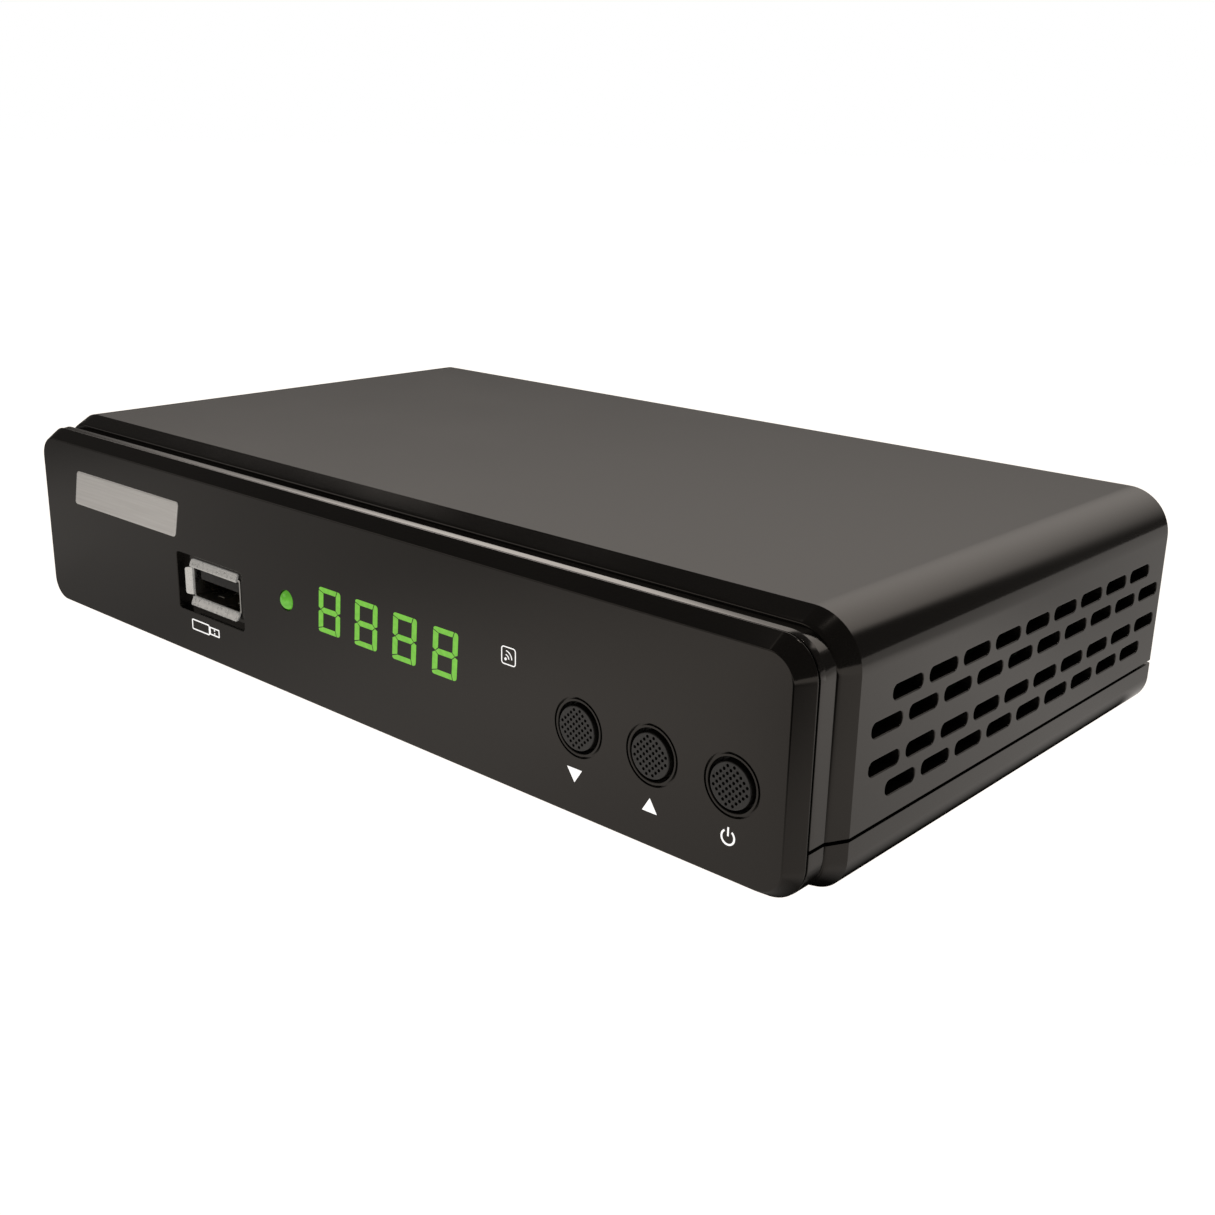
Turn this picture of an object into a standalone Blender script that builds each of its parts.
"""Set-top recorder for television: a flat plastic box with a front bezel, three push buttons, a USB
socket, a four-digit display and, inside, a main board with its sockets and a front board with its switches.

Frame: +X to the right seen from the front, +Y to the rear, +Z up. The origin is the middle of the footprint
on the surface that the feet stand on. Inside this script a place is given in millimetres as across (from the
middle, to the right), deep (back from the bezel's face) and high (above the tray's underside)."""

from math import cos, pi, radians, sin

import bmesh
import bpy
from mathutils import Matrix, Vector

MM = 0.001
GAP = 0.3  # air between pieces that touch

# Sections of the box: half its width, low, top, radius of the upper corners, radius of the lower corners
BODY = (85.0, 0.0, 35.0, 7.0, 5.0)
BODY_INSIDE = (83.0, 2.0, 33.0, 5.0, 3.0)
BACK_OPENING = (82.0, 3.0, 32.0, 4.0, 2.5)
PANEL = (82.7, 2.3, 32.7, 4.7, 2.7)
BEZEL = (83.45, 0.4, 33.4, 5.2, 5.2)
COLLAR = (83.45, 0.4, 32.8, 4.6, 5.2)  # flush with the bezel, but lower on top behind a narrow crest
COLLAR_INSIDE = (81.8, 2.2, 31.2, 3.4, 3.6)
PLUG = (81.5, 2.5, 30.9, 3.0, 3.2)
PLUG_INSIDE = (80.2, 3.8, 29.6, 1.8, 1.9)

# Stations along the box: deep, inset
BODY_RUN = ((6.0, 1.8), (6.2, 1.42), (6.6, 1.16), (7.6, 0.65), (8.9, 0.0), (95.7, 0.0))
BEZEL_RUN = ((0.0, 1.6), (2.5, 0.04), (2.6, 0.0))
COLLAR_RUN = ((2.9, 0.0), (9.0, 0.0))
CREST_RUN = ((2.9, 0.0), (4.0, 0.0))
BODY_INSIDE_RUN = ((8.0, 0.0), (95.0, 0.0))
COLLAR_INSIDE_RUN = ((0.0, 0.0), (9.0, 0.0))
BACK_OPENING_RUN = ((90.0, 0.0), (100.0, 0.0))

BODY_H, WALL = 35.0, 2.0
SEAM, SEAM_GAP = 7.6, 0.5  # the joint line between top cover and bottom tray
LIP_X = 83.4  # the tray's lip, which stands behind the joint line
LIP_T, LIP_RUN, LIP_HIGH = 0.9, (10.0, 92.5), 1.5
LIP_ROOM, LIP_ROOM_RUN = (-0.8, 0.75), (9.5, 93.0)
STOP_W, STOP_RUN, STOP_HIGH = 60.0, (91.8, 93.1), 1.6  # ribs that the rear panel stands against
FOOT_R, FOOT_DROP, FOOT_SINK = 5.0, 1.6, 0.6
BUTTON_PROUD = 0.3
LED_PROUD = 0.7
JACK_BACK = 105.0  # how far back the aerial jacks reach

# Vents, in each side wall
VENT_PITCH, VENT_LENGTH, VENT_HEIGHT = 8.34, 6.8, 1.95
VENT_FIRST, VENT_COUNT = 15.4, 10
VENT_ROWS = ((24.0, 0.5), (20.3, 0.0), (15.4, 0.0), (11.7, 0.5))  # height, shift in pitches
VENT_CUT = 8.0

# Bezel face
FACE_T, SKIN = 1.8, 1.0  # the plate's thickness, and what is left of it in front of the display
USB_X, USB_H = -31.25, 14.05
USB_CUT_W, USB_CUT_H, USB_RECESS = 18.3, 9.7, 1.3
USB_SHELL_W, USB_SHELL_H, USB_FLARE_W, USB_FLARE_H = 13.1, 5.7, 16.1, 8.5
LED_X, LED_H, LED_R = -10.7, 17.1, 1.5
DIGITS_X, DIGITS_H = 12.45, 17.7
DISPLAY_W, DISPLAY_H = 30.1, 10.0
IR_X, IR_H = 37.4, 20.5
BUTTON_H, BUTTON_R = 14.1, 3.0
BUTTONS = {"down": 49.9, "up": 62.05, "power": 74.2}
BUTTON_HOLE_R = 3.45
GROOVE_R, GROOVE_W, GROOVE_T = 4.0, 0.2, 0.35  # a fine groove round each button

# Boards
PCB_T = 1.6
PCB_LOW = 8.4
PCB_TOP = PCB_LOW + PCB_T
PCB_HALF_W, PCB_FRONT, PCB_BACK = 72.0, 12.0, 92.0
ON_PCB = PCB_TOP + GAP
CAPACITORS = ((-66.0, 70.0, 4.0), (-66.0, 59.0, 4.0), (-46.0, 70.0, 3.15), (-46.0, 59.0, 3.15))
CAPACITOR_TALL = 11.5
CHIPS = {
    "main_chip": ((-13.0, 1.0), (38.0, 52.0), 1.3),
    "memory_chip": ((-38.0, -26.0), (41.0, 49.0), 1.1),
    "flash_chip": ((18.0, 24.0), (38.0, 43.0), 1.8),
    "voltage_regulator": ((-57.0, -50.5), (42.0, 48.0), 2.3),
}  # across, deep, how tall
SINK_LOW, SINK_TOP, FIN_PITCH, FIN_GAPS = 1.6, 9.6, 3.2, 6
FRONT_PCB = 9.8  # depth of the front board's face
HEADER_ACROSS, HEADER_TALL = (1.0, 25.0), 4.6
RIBBON_ACROSS, RIBBON_T, RIBBON_BEND, RIBBON_TOP, RIBBON_BACK = (3.0, 23.0), 0.5, 5.5, 21.2, 26.7

# Rear panel and what comes through it
PANEL_FRONT, PANEL_BACK = 93.4, 94.7
RF_IN_X, RF_OUT_X, RF_H = 58.0, 44.0, 18.3
SCART_X, SCART_W, SCART_HIGH = 8.0, 47.0, 13.0
SCART_MID = ON_PCB + 7.9
HDMI_X, HDMI_W, HDMI_HIGH = -32.0, 15.0, 6.2
DC_X, DC_H = -58.0, 16.8

# Screws
PCB_SCREWS = ((-68.5, 20.0), (68.5, 20.0), (-68.5, 86.0), (68.5, 86.0))
CASE_SCREWS = ((-76.5, 18.0), (76.5, 18.0), (-76.5, 84.0), (76.5, 84.0))
FRONT_SCREWS = ((-14.0, 26.4), (77.0, 26.4))
CASE_HEAD = 3.6  # how far the case screws' heads are sunk into the underside
FEET = {
    "front_left": (-66.0, 15.0),
    "front_right": (66.0, 15.0),
    "rear_left": (-66.0, 84.0),
    "rear_right": (66.0, 84.0),
}

OVERALL_DEPTH = LED_PROUD + JACK_BACK
FACE_Y = LED_PROUD - OVERALL_DEPTH / 2

# name: colour, roughness, metallic
FINISHES = {
    "gloss_black": ((0.016, 0.015, 0.014), 0.16, 0.0),
    "button_black": ((0.020, 0.019, 0.018), 0.45, 0.0),
    "rubber": ((0.020, 0.020, 0.020), 0.85, 0.0),
    "black_plastic": ((0.018, 0.018, 0.018), 0.50, 0.0),
    "white_plastic": ((0.62, 0.61, 0.56), 0.45, 0.0),
    "board_green": ((0.015, 0.10, 0.035), 0.40, 0.0),
    "chip_black": ((0.014, 0.014, 0.015), 0.55, 0.0),
    "tin": ((0.62, 0.62, 0.60), 0.30, 1.0),
    "zinc_screw": ((0.50, 0.50, 0.48), 0.32, 1.0),
    "black_screw": ((0.03, 0.03, 0.03), 0.35, 1.0),
    "black_steel": ((0.022, 0.021, 0.020), 0.42, 0.0),
    "brass": ((0.66, 0.48, 0.22), 0.28, 1.0),
    "heatsink": ((0.05, 0.05, 0.055), 0.40, 1.0),
    "capacitor": ((0.02, 0.03, 0.07), 0.35, 0.0),
    "led_green": ((0.12, 0.60, 0.06), 0.15, 0.0),
    "ribbon": ((0.75, 0.74, 0.70), 0.50, 0.0),
}


def at(across, deep, high):
    """A place in metres in the part's frame."""
    return Vector((across * MM, (FACE_Y + deep) * MM, (FOOT_DROP + high) * MM))


def collection(name):
    made = bpy.data.collections.new(name)
    bpy.context.scene.collection.children.link(made)
    return made


for old in list(bpy.data.objects):
    bpy.data.objects.remove(old)
PARTS = collection("settop_recorder")
CUTTERS = collection("cutters")


def material(name):
    found = bpy.data.materials.get(name)
    if found:
        return found
    colour, roughness, metallic = FINISHES[name]
    made = bpy.data.materials.new(name)
    made.use_nodes = True
    shader = made.node_tree.nodes["Principled BSDF"]
    shader.inputs["Base Color"].default_value = (*colour, 1)
    shader.inputs["Roughness"].default_value = roughness
    shader.inputs["Metallic"].default_value = metallic
    made.diffuse_color = (*colour, 1)
    return made


def placed(name, bm, centre, finish):
    """An object from bm: with a finish a piece of the recorder, and without one a cutter or an addition."""
    mesh = bpy.data.meshes.new(name)
    bm.to_mesh(mesh)
    bm.free()
    made = bpy.data.objects.new(name, mesh)
    made.location = centre
    if finish:
        PARTS.objects.link(made)
        mesh.materials.append(material(finish))
        mesh.shade_smooth()
        mesh.set_sharp_from_angle(angle=radians(35))
    else:
        CUTTERS.objects.link(made)
        made.hide_render = True
        made.display_type = "WIRE"
    return made


def rounded(bm, chosen, radius, segments):
    edges = [e for e in bm.edges if chosen(e)]
    bmesh.ops.bevel(bm, geom=edges, offset=radius * MM, segments=segments, profile=0.5, affect="EDGES")


def along(axis):
    """Chooses the edges that run along an axis: 0 across, 1 deep, 2 high."""

    def chosen(edge):
        run = edge.verts[1].co - edge.verts[0].co
        return abs(run[axis]) > 0.999 * run.length

    return chosen


def block(name, across, deep, high, finish=None, corner=0.0, corner_axis=1, segments=3):
    """A box from three (low, high) pairs, with its four edges along corner_axis rounded."""
    low, top = at(across[0], deep[0], high[0]), at(across[1], deep[1], high[1])
    bm = bmesh.new()
    bmesh.ops.create_cube(bm, size=1)
    bmesh.ops.scale(bm, vec=top - low, verts=bm.verts)
    if corner:
        rounded(bm, along(corner_axis), corner, segments)
    return placed(name, bm, (low + top) / 2, finish)


AXES = {
    "deep": Matrix.Rotation(radians(90), 3, "X"),
    "high": Matrix.Identity(3),
}


def rod(name, radius, across, deep, high, finish=None, axis="deep", segments=24, edge=0.0):
    """A cylinder. The value named by axis is a (low, high) pair and the other two are its centre line."""
    place = {"across": across, "deep": deep, "high": high}
    low, top = place[axis]
    place[axis] = (low + top) / 2
    bm = bmesh.new()
    wide, long = radius * MM, (top - low) * MM
    bmesh.ops.create_cone(bm, cap_ends=True, segments=segments, radius1=wide, radius2=wide, depth=long)
    if edge:
        rounded(bm, lambda e: abs(e.verts[0].co.z - e.verts[1].co.z) < 1e-7, edge, 1)
    bmesh.ops.rotate(bm, matrix=AXES[axis], verts=bm.verts)
    return placed(name, bm, at(place["across"], place["deep"], place["high"]), finish)


def combine(target, operation, *tools):
    for tool in tools:
        step = target.modifiers.new(tool.name, "BOOLEAN")
        step.operation = operation
        step.object = tool
        step.solver = "EXACT"
    return target


def cut(target, *tools):
    return combine(target, "DIFFERENCE", *tools)


def add(target, *tools):
    return combine(target, "UNION", *tools)


def outline(section, inset, steps):
    """The section as (across, high) points, moved inwards by inset."""
    half_w, low, top, top_r, low_r = section
    points = []
    for side, radius, start in ((1, top_r, 0), (-1, top_r, 90), (-1, low_r, 180), (1, low_r, 270)):
        middle = top - radius if start < 180 else low + radius
        for step in range(steps + 1):
            turn = radians(start + 90 * step / steps)
            reach = radius - inset
            points.append((side * (half_w - radius) + reach * cos(turn), middle + reach * sin(turn)))
    return points


def tube_form(name, section, run, finish=None, steps=5):
    """The section carried through the stations of run, with a face over each end."""
    bm = bmesh.new()
    rings = []
    for deep, inset in run:
        rings.append([bm.verts.new(at(x, deep, z)) for x, z in outline(section, inset, steps)])
    bm.faces.new(rings[0])
    bm.faces.new(rings[-1])
    for near, far in zip(rings, rings[1:]):
        for i in range(len(near)):
            bm.faces.new((near[i - 1], near[i], far[i], far[i - 1]))
    bmesh.ops.recalc_face_normals(bm, faces=bm.faces)
    return placed(name, bm, (0, 0, 0), finish)


# ---- top cover and bottom tray -----------------------------------------------------------------------


def case_form(name, finish):
    """The body and the collar in front of it, hollow and open at both ends."""
    case = tube_form(name, BODY, BODY_RUN, finish)
    add(case, tube_form(f"{name}_collar", COLLAR, COLLAR_RUN))
    add(case, tube_form(f"{name}_crest", BEZEL, CREST_RUN))
    cut(case, tube_form(f"{name}_inside", BODY_INSIDE, BODY_INSIDE_RUN))
    cut(case, tube_form(f"{name}_collar_inside", COLLAR_INSIDE, COLLAR_INSIDE_RUN))
    cut(case, tube_form(f"{name}_back_opening", BACK_OPENING, BACK_OPENING_RUN))
    return case


def vents():
    """All the vents' cutters in one mesh: short slots with round ends, through both side walls."""
    bm = bmesh.new()
    for high, shift in VENT_ROWS:
        for i in range(VENT_COUNT - round(2 * shift)):
            middle = at(0, VENT_FIRST + VENT_PITCH * (i + shift), high)
            for side in (-1, 1):
                made = bmesh.ops.create_cube(bm, size=1)["verts"]
                size = Vector((VENT_CUT, VENT_LENGTH, VENT_HEIGHT)) * MM
                bmesh.ops.scale(bm, vec=size, verts=made)
                bmesh.ops.translate(bm, vec=middle + Vector((side * BODY[0] * MM, 0, 0)), verts=made)
    rounded(bm, along(0), VENT_HEIGHT * 0.42, 2)
    return placed("vent_slots", bm, (0, 0, 0), None)


def posts(name, places, radius, high):
    """Upright cylinders, one at each place, to add or to cut."""
    made = []
    for n, (x, y) in enumerate(places):
        made.append(rod(f"{name}_{n}", radius, x, y, high, axis="high", segments=16))
    return made


def top_cover():
    cover = case_form("top_cover", "gloss_black")
    cut(cover, block("below_seam", (-90, 90), (-5, 110), (-5, SEAM + SEAM_GAP / 2)))
    for side in (-1, 1):
        across = sorted(side * (LIP_X + room) for room in LIP_ROOM)
        cut(cover, block(f"lip_room_{side}", across, LIP_ROOM_RUN, (SEAM - 1, SEAM + LIP_HIGH + 0.7)))
    cut(cover, vents())
    add(cover, *posts("cover_post", CASE_SCREWS, 3.0, (SEAM + 2.6, BODY_H - 1)))
    cut(cover, *posts("cover_post_bore", CASE_SCREWS, 1.55, (SEAM, 18)))
    add(cover, block("panel_stop_top", (-STOP_W, STOP_W), STOP_RUN, (BODY_H - WALL - STOP_HIGH, BODY_H - 1)))


def bottom_tray():
    tray = case_form("bottom_tray", "gloss_black")
    cut(tray, block("above_seam", (-90, 90), (-5, 110), (SEAM - SEAM_GAP / 2, 50)))
    for side in (-1, 1):
        across = sorted(side * LIP_X + half for half in (-LIP_T / 2, LIP_T / 2))
        add(tray, block(f"seam_lip_{side}", across, LIP_RUN, (SEAM - 2, SEAM + LIP_HIGH)))
    add(tray, *posts("board_boss", PCB_SCREWS, 3.2, (WALL - 1, PCB_LOW - GAP)))
    cut(tray, *posts("board_boss_bore", PCB_SCREWS, 1.4, (WALL + 1, PCB_LOW + 1)))
    add(tray, *posts("case_boss", CASE_SCREWS, 3.4, (WALL - 1, SEAM + 2.3)))
    cut(tray, *posts("case_bore", CASE_SCREWS, 1.6, (-1, SEAM + 3)))
    cut(tray, *posts("case_recess", CASE_SCREWS, 3.2, (-1, CASE_HEAD)))
    cut(tray, *posts("foot_pocket", FEET.values(), FOOT_R + GAP, (-1, FOOT_SINK)))
    add(tray, block("panel_stop_low", (-STOP_W, STOP_W), STOP_RUN, (WALL - 1, WALL + STOP_HIGH)))


def feet():
    for corner, (x, y) in FEET.items():
        rod(f"foot_{corner}", FOOT_R, x, y, (-FOOT_DROP, FOOT_SINK - GAP), "rubber", "high", edge=0.4)


# ---- bezel and buttons -------------------------------------------------------------------------------


def front_bezel():
    bezel = tube_form("front_bezel", BEZEL, BEZEL_RUN, "gloss_black")
    add(bezel, tube_form("bezel_plug", PLUG, ((FACE_T, 0.0), (6.5, 0.0)), steps=3))
    cut(bezel, tube_form("bezel_inside", PLUG_INSIDE, ((FACE_T, 0.0), (8.0, 0.0)), steps=3))
    cut(bezel, block("usb_recess", (USB_X - USB_CUT_W / 2, USB_X + USB_CUT_W / 2), (-1, USB_RECESS),
                     (USB_H - USB_CUT_H / 2, USB_H + USB_CUT_H / 2), corner=0.6, segments=2))
    half_w, half_h = USB_SHELL_W / 2 + GAP, USB_SHELL_H / 2 + GAP
    cut(bezel, block("usb_window", (USB_X - half_w, USB_X + half_w), (0, 4),
                     (USB_H - half_h, USB_H + half_h)))
    cut(bezel, rod("led_hole", LED_R + GAP, LED_X, (-1, 4), LED_H, segments=20))
    half_w, half_h = DISPLAY_W / 2 + 0.5, DISPLAY_H / 2 + 0.5
    cut(bezel, block("display_pocket", (DIGITS_X - half_w, DIGITS_X + half_w), (SKIN, 4),
                     (DIGITS_H - half_h, DIGITS_H + half_h)))
    cut(bezel, rod("ir_pocket", 3.2, IR_X, (SKIN, 4), IR_H, segments=20))
    for use, x in BUTTONS.items():
        cut(bezel, rod(f"hole_{use}", BUTTON_HOLE_R, x, (-1, 4), BUTTON_H))
        groove = rod(f"groove_{use}", GROOVE_R, x, (-1, GROOVE_T), BUTTON_H)
        cut(groove, rod(f"groove_core_{use}", GROOVE_R - GROOVE_W, x, (-2, 1), BUTTON_H))
        cut(bezel, groove)
    for n, (x, z) in enumerate(FRONT_SCREWS):
        add(bezel, rod(f"front_boss_{n}", 2.4, x, (FACE_T - 0.5, FRONT_PCB - GAP), z, segments=16))
        cut(bezel, rod(f"front_boss_bore_{n}", 1.2, x, (FACE_T + 1.2, FRONT_PCB + 1), z, segments=12))


def buttons():
    """Each cap has a flange that keeps it behind the bezel, and a stem that meets its switch's plunger."""
    for use, x in BUTTONS.items():
        cap = rod(f"button_{use}", BUTTON_R, x, (-BUTTON_PROUD, 2.6), BUTTON_H, "button_black", edge=0.15)
        add(cap, rod(f"flange_{use}", 4.4, x, (FACE_T + GAP, FACE_T + GAP + 0.9), BUTTON_H))
        add(cap, rod(f"stem_{use}", 1.7, x, (2.0, 4.8), BUTTON_H, segments=16))


def switches():
    for use, x in BUTTONS.items():
        body = block(f"switch_body_{use}", (x - 3, x + 3), (6.3, FRONT_PCB - GAP),
                     (BUTTON_H - 3, BUTTON_H + 3), "black_plastic")
        cut(body, rod(f"plunger_bore_{use}", 2.05, x, (5, 8.9), BUTTON_H, segments=12))
        rod(f"switch_plunger_{use}", 1.7, x, (5.1, 8.4), BUTTON_H, "white_plastic", segments=12, edge=0.2)


# ---- front board -------------------------------------------------------------------------------------


def front_board():
    board = block("front_pcb", (-17.5, 80.5), (FRONT_PCB, FRONT_PCB + PCB_T), (5.2, 29.8), "board_green",
                  corner=1.0, segments=2)
    for n, (x, z) in enumerate(FRONT_SCREWS):
        cut(board, rod(f"front_board_hole_{n}", 1.5, x, (8, 14), z, segments=16))
        screw(f"front_screw_{('left', 'right')[n]}", x, z, (FRONT_PCB + PCB_T + GAP, 1), 2.3, 1.4, 0.9, 5.5)
    block("display_module", (DIGITS_X - DISPLAY_W / 2, DIGITS_X + DISPLAY_W / 2), (1.3, FRONT_PCB - GAP),
          (DIGITS_H - DISPLAY_H / 2, DIGITS_H + DISPLAY_H / 2), "black_plastic")
    led = rod("status_led", LED_R, LED_X, (-LED_PROUD, 5.3), LED_H, "led_green", segments=20, edge=0.7)
    add(led, rod("led_flange", 1.95, LED_X, (4.4, 5.3), LED_H, segments=20))
    rod("led_spacer", 2.5, LED_X, (5.3 + GAP, FRONT_PCB - GAP), LED_H, "black_plastic", segments=20)
    receiver = block("ir_receiver", (IR_X - 2.7, IR_X + 2.7), (6.0, FRONT_PCB - GAP),
                     (IR_H - 3.4, IR_H + 3.4), "chip_black")
    bm = bmesh.new()
    bmesh.ops.create_uvsphere(bm, u_segments=16, v_segments=8, radius=2.2 * MM)
    add(receiver, placed("ir_lens", bm, at(IR_X, 6.1, IR_H), None))
    block("ribbon_header_front", HEADER_ACROSS, (FRONT_PCB + PCB_T + GAP, 15.2), (19.0, 23.4),
          "white_plastic")


def screw(name, across, other, head_at, head_r, head_t, shank_r, length):
    """A pan-head screw. head_at is the depth or height under its head, and +1 or -1 for the side its head
    is on; other is the height of a screw that lies deep, or the depth of one that stands."""
    start, side = head_at
    lies = name.startswith("front")
    axis = "deep" if lies else "high"
    span = sorted((start, start + side * head_t))
    shank = sorted((start + side * head_t * 0.5, start - side * length))
    places = [(span, other), (shank, other)] if lies else [(other, span), (other, shank)]
    finish = "black_screw" if name.startswith("case") else "zinc_screw"
    made = rod(name, head_r, across, *places[0], finish, axis, 16, edge=0.3)
    add(made, rod(f"{name}_shank", shank_r, across, *places[1], None, axis, 8))
    tip = start + side * head_t
    for turn, (a, b) in enumerate(((1.5, 0.3), (0.3, 1.5))):
        slot = sorted((tip + side, tip - side * head_t * 0.45))
        deep, high = (slot, (other - b, other + b)) if lies else ((other - b, other + b), slot)
        cut(made, block(f"{name}_cross_{turn}", (across - a, across + a), deep, high))
    return made


# ---- main board and what stands on it ----------------------------------------------------------------


def main_board():
    board = block("main_pcb", (-PCB_HALF_W, PCB_HALF_W), (PCB_FRONT, PCB_BACK), (PCB_LOW, PCB_TOP),
                  "board_green", corner=1.5, corner_axis=2, segments=2)
    add(board, block("usb_ledge", (-46, -19), (8.5, PCB_FRONT + 3), (PCB_LOW, PCB_TOP)))
    for n, (x, y) in enumerate(PCB_SCREWS):
        cut(board, rod(f"board_hole_{n}", 1.7, x, y, (PCB_LOW - 1, PCB_TOP + 1), axis="high", segments=16))
        screw(f"pcb_screw_{n + 1}", x, y, (ON_PCB, 1), 2.8, 1.8, 1.1, 7.0)
    for n, (x, y) in enumerate(CASE_SCREWS):
        screw(f"case_screw_{n + 1}", x, y, (CASE_HEAD - GAP, -1), 2.8, 1.8, 1.25, 13.0)


def chips():
    for name, (across, deep, tall) in CHIPS.items():
        block(name, across, deep, (ON_PCB, ON_PCB + tall), "chip_black")
    sink = block("heatsink", (-16, 4), (35, 55), (ON_PCB + SINK_LOW, ON_PCB + SINK_TOP), "heatsink")
    for n in range(FIN_GAPS):
        x = -14.6 + FIN_PITCH * n
        cut(sink, block(f"fin_gap_{n}", (x, x + 1.9), (30, 60),
                        (ON_PCB + SINK_LOW + 2, ON_PCB + SINK_TOP + 2)))
    block("crystal", (-22, -18), (54, 65), (ON_PCB, ON_PCB + 3.5), "tin", corner=1.9, corner_axis=2)
    block("power_inductor", (-60, -53), (54, 61), (ON_PCB, ON_PCB + 4), "chip_black", corner=1.2,
          corner_axis=2, segments=1)
    for n, (x, y, radius) in enumerate(CAPACITORS):
        rod(f"capacitor_{n + 1}", radius, x, y, (ON_PCB, ON_PCB + CAPACITOR_TALL), "capacitor", "high", 20,
            edge=0.4)
    block("ribbon_header_main", HEADER_ACROSS, (24.5, 28.9), (ON_PCB, ON_PCB + HEADER_TALL), "white_plastic")


def ribbon():
    """A flat cable from the front board's header, straight back and then down into the main board's."""
    low = ON_PCB + HEADER_TALL + GAP
    run = [(15.2 + GAP, RIBBON_TOP)]
    for step in range(9):
        turn = pi / 2 * step / 8
        deep = RIBBON_BACK - RIBBON_BEND * (1 - sin(turn))
        run.append((deep, RIBBON_TOP - RIBBON_BEND * (1 - cos(turn))))
    run.append((RIBBON_BACK, low))
    bm = bmesh.new()
    sides = [[bm.verts.new(at(x, deep, high)) for deep, high in run] for x in RIBBON_ACROSS]
    for i in range(len(run) - 1):
        bm.faces.new((sides[0][i], sides[1][i], sides[1][i + 1], sides[0][i + 1]))
    cable = placed("ribbon_cable", bm, (0, 0, 0), "ribbon")
    thick = cable.modifiers.new("thick", "SOLIDIFY")
    thick.thickness, thick.offset = RIBBON_T * MM, 0


def usb_socket():
    def around(name, width, height, deep, finish=None, corner=0.0):
        return block(name, (USB_X - width / 2, USB_X + width / 2), deep,
                     (USB_H - height / 2, USB_H + height / 2), finish, corner, segments=2)

    shell = around("usb_shell", USB_SHELL_W, USB_SHELL_H, (0.6, 15.5), "tin")
    add(shell, around("usb_flare", USB_FLARE_W, USB_FLARE_H, (0.3, USB_RECESS - GAP), corner=0.6))
    cut(shell, around("usb_mouth", USB_SHELL_W - 0.7, USB_SHELL_H - 0.7, (-1, 15.0)))
    block("usb_tongue", (USB_X - 5.6, USB_X + 5.6), (2.0, 15.0 - GAP), (USB_H + 0.2, USB_H + 2.0),
          "black_plastic")


def aerial_jacks():
    block("tuner_can", (37, 65), (66, 90), (ON_PCB, ON_PCB + 16), "tin", corner=0.6, segments=1)
    socket = rod("rf_in_jack", 5.95, RF_IN_X, (90 + GAP, JACK_BACK), RF_H, "tin", segments=32)
    cut(socket, rod("rf_in_bore", 4.8, RF_IN_X, (92.5, 110), RF_H, segments=32))
    contact = rod("rf_in_contact", 2.1, RF_IN_X, (92.5 + GAP, JACK_BACK - 1.2), RF_H, "brass", segments=20)
    cut(contact, rod("rf_in_contact_bore", 1.25, RF_IN_X, (96, 110), RF_H, segments=16))
    plug = rod("rf_out_jack", 5.95, RF_OUT_X, (90 + GAP, 96.2), RF_H, "tin", segments=32)
    add(plug, rod("rf_out_sleeve", 4.75, RF_OUT_X, (92, JACK_BACK), RF_H, segments=32))
    cut(plug, rod("rf_out_bore", 4.1, RF_OUT_X, (94, 110), RF_H, segments=32))
    rod("rf_out_pin", 1.2, RF_OUT_X, (94 + GAP, JACK_BACK - 1.5), RF_H, "brass", segments=16, edge=0.4)


def av_socket():
    half_w, half_h = SCART_W / 2, SCART_HIGH / 2
    socket = block("scart_socket", (SCART_X - 25.5, SCART_X + 25.5), (72, PANEL_FRONT - GAP),
                   (ON_PCB, ON_PCB + 15.8), "black_plastic")
    add(socket, block("scart_nose", (SCART_X - half_w, SCART_X + half_w), (90, 96.2),
                      (SCART_MID - half_h, SCART_MID + half_h), corner=1.0, segments=2))
    groove = block("scart_groove", (SCART_X - half_w + 1.3, SCART_X + half_w - 1.3), (84, 100),
                   (SCART_MID - half_h + 1.3, SCART_MID + half_h - 1.3), corner=0.8, segments=2)
    cut(groove, block("scart_island", (SCART_X - half_w + 3.2, SCART_X + half_w - 3.2), (80, 95.6),
                      (SCART_MID - half_h + 3.1, SCART_MID + half_h - 3.1)))
    cut(socket, groove)


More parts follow.
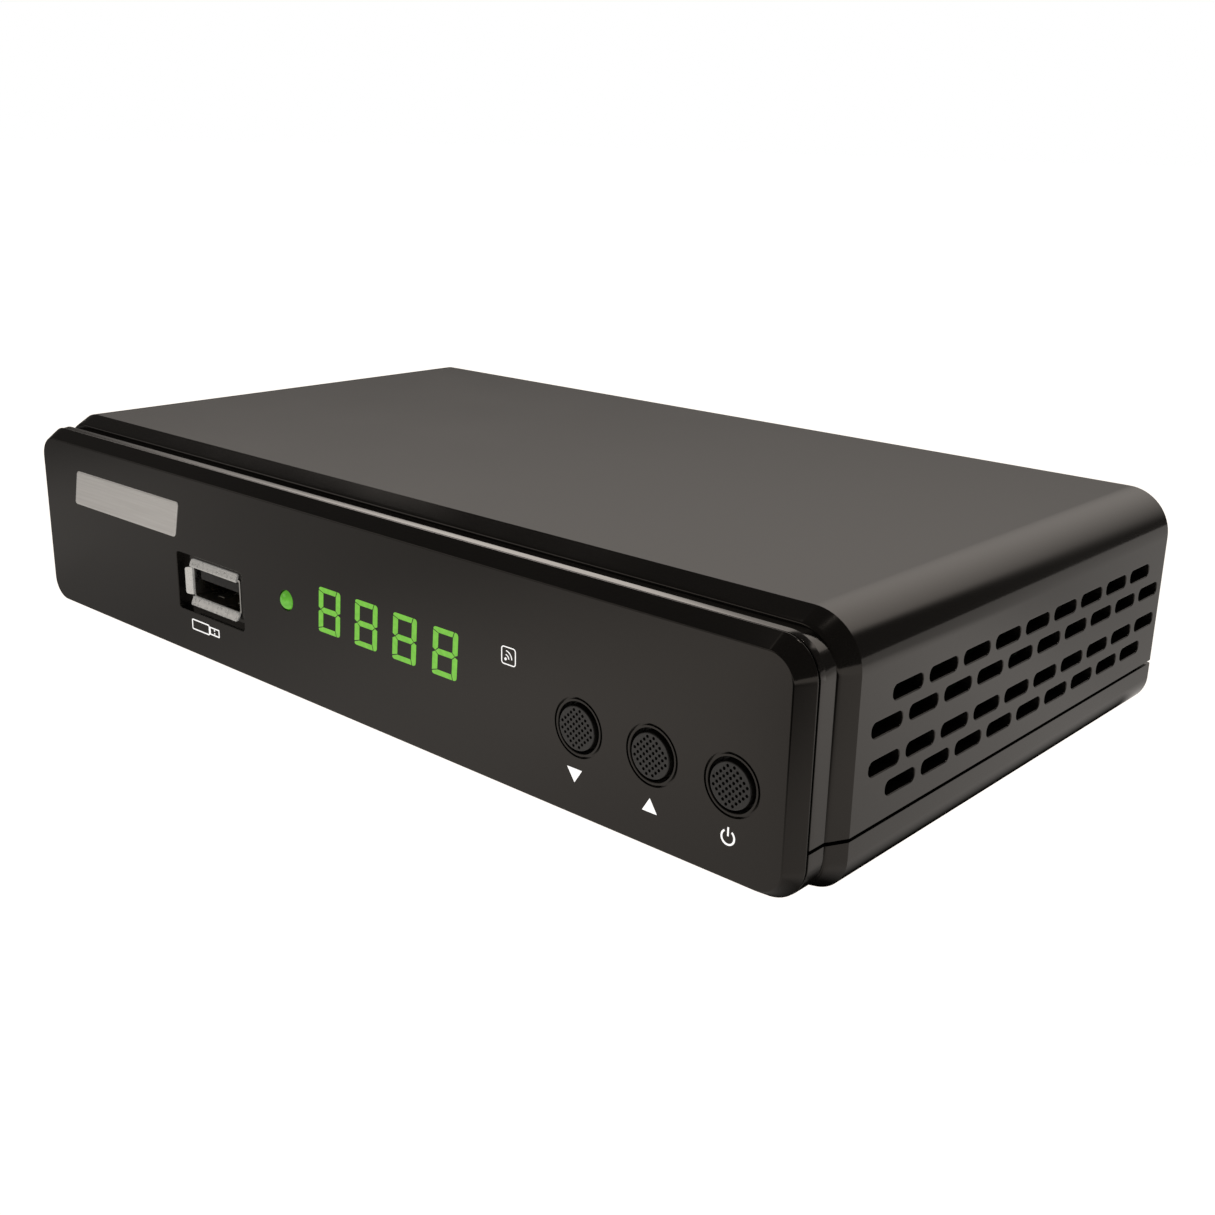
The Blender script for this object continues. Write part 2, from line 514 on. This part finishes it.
def hdmi_socket():
    middle = ON_PCB + HDMI_HIGH / 2
    half_w, half_h = HDMI_W / 2, HDMI_HIGH / 2

    def form(name, less, deep, finish=None):
        """A block whose two lower corners are cut off, as the plug's shape asks."""
        made = block(name, (HDMI_X - half_w + less, HDMI_X + half_w - less), deep,
                     (middle - half_h + less, middle + half_h - less), finish)
        for side in (-1, 1):
            corner = block(f"{name}_corner_{side}", (-1.6, 1.6), (80, 100), (-1.6, 1.6))
            corner.location = at(HDMI_X + side * (half_w - less), 90, middle - half_h + less)
            corner.rotation_euler.y = radians(45)
            cut(made, corner)
        return made

    shell = form("hdmi_shell", 0, (84, 95.4), "tin")
    cut(shell, form("hdmi_mouth", 0.45, (84.6, 99)))
    block("hdmi_tongue", (HDMI_X - 5.3, HDMI_X + 5.3), (84.6 + GAP, 94.2), (middle + 0.1, middle + 1.1),
          "black_plastic")


def power_inlet():
    jack = block("dc_jack", (DC_X - 4.5, DC_X + 4.5), (81, 95.4), (ON_PCB, ON_PCB + 11), "black_plastic")
    cut(jack, rod("dc_bore", 3.2, DC_X, (85.5, 100), DC_H))
    rod("dc_jack_pin", 1.05, DC_X, (85.5 + GAP, 94.4), DC_H, "tin", segments=16, edge=0.3)


def rear_panel():
    panel = tube_form("rear_panel", PANEL, ((PANEL_FRONT, 0.0), (PANEL_BACK, 0.0)), "black_steel")
    through = (PANEL_FRONT - 2, PANEL_BACK + 2)
    for name, x in (("rf_in_hole", RF_IN_X), ("rf_out_hole", RF_OUT_X)):
        cut(panel, rod(name, 6.3, x, through, RF_H, segments=32))
    scart_w, scart_h = SCART_W / 2 + GAP, SCART_HIGH / 2 + GAP
    cut(panel, block("scart_hole", (SCART_X - scart_w, SCART_X + scart_w), through,
                     (SCART_MID - scart_h, SCART_MID + scart_h), corner=1.0, segments=2))
    hdmi_w = HDMI_W / 2 + GAP
    cut(panel, block("hdmi_hole", (HDMI_X - hdmi_w, HDMI_X + hdmi_w), through,
                     (ON_PCB - GAP, ON_PCB + HDMI_HIGH + GAP)))
    cut(panel, block("dc_hole", (DC_X - 4.5 - GAP, DC_X + 4.5 + GAP), through,
                     (ON_PCB - GAP, ON_PCB + 11 + GAP)))


top_cover()
bottom_tray()
feet()
front_bezel()
buttons()
switches()
front_board()
main_board()
chips()
ribbon()
usb_socket()
aerial_jacks()
av_socket()
hdmi_socket()
power_inlet()
rear_panel()
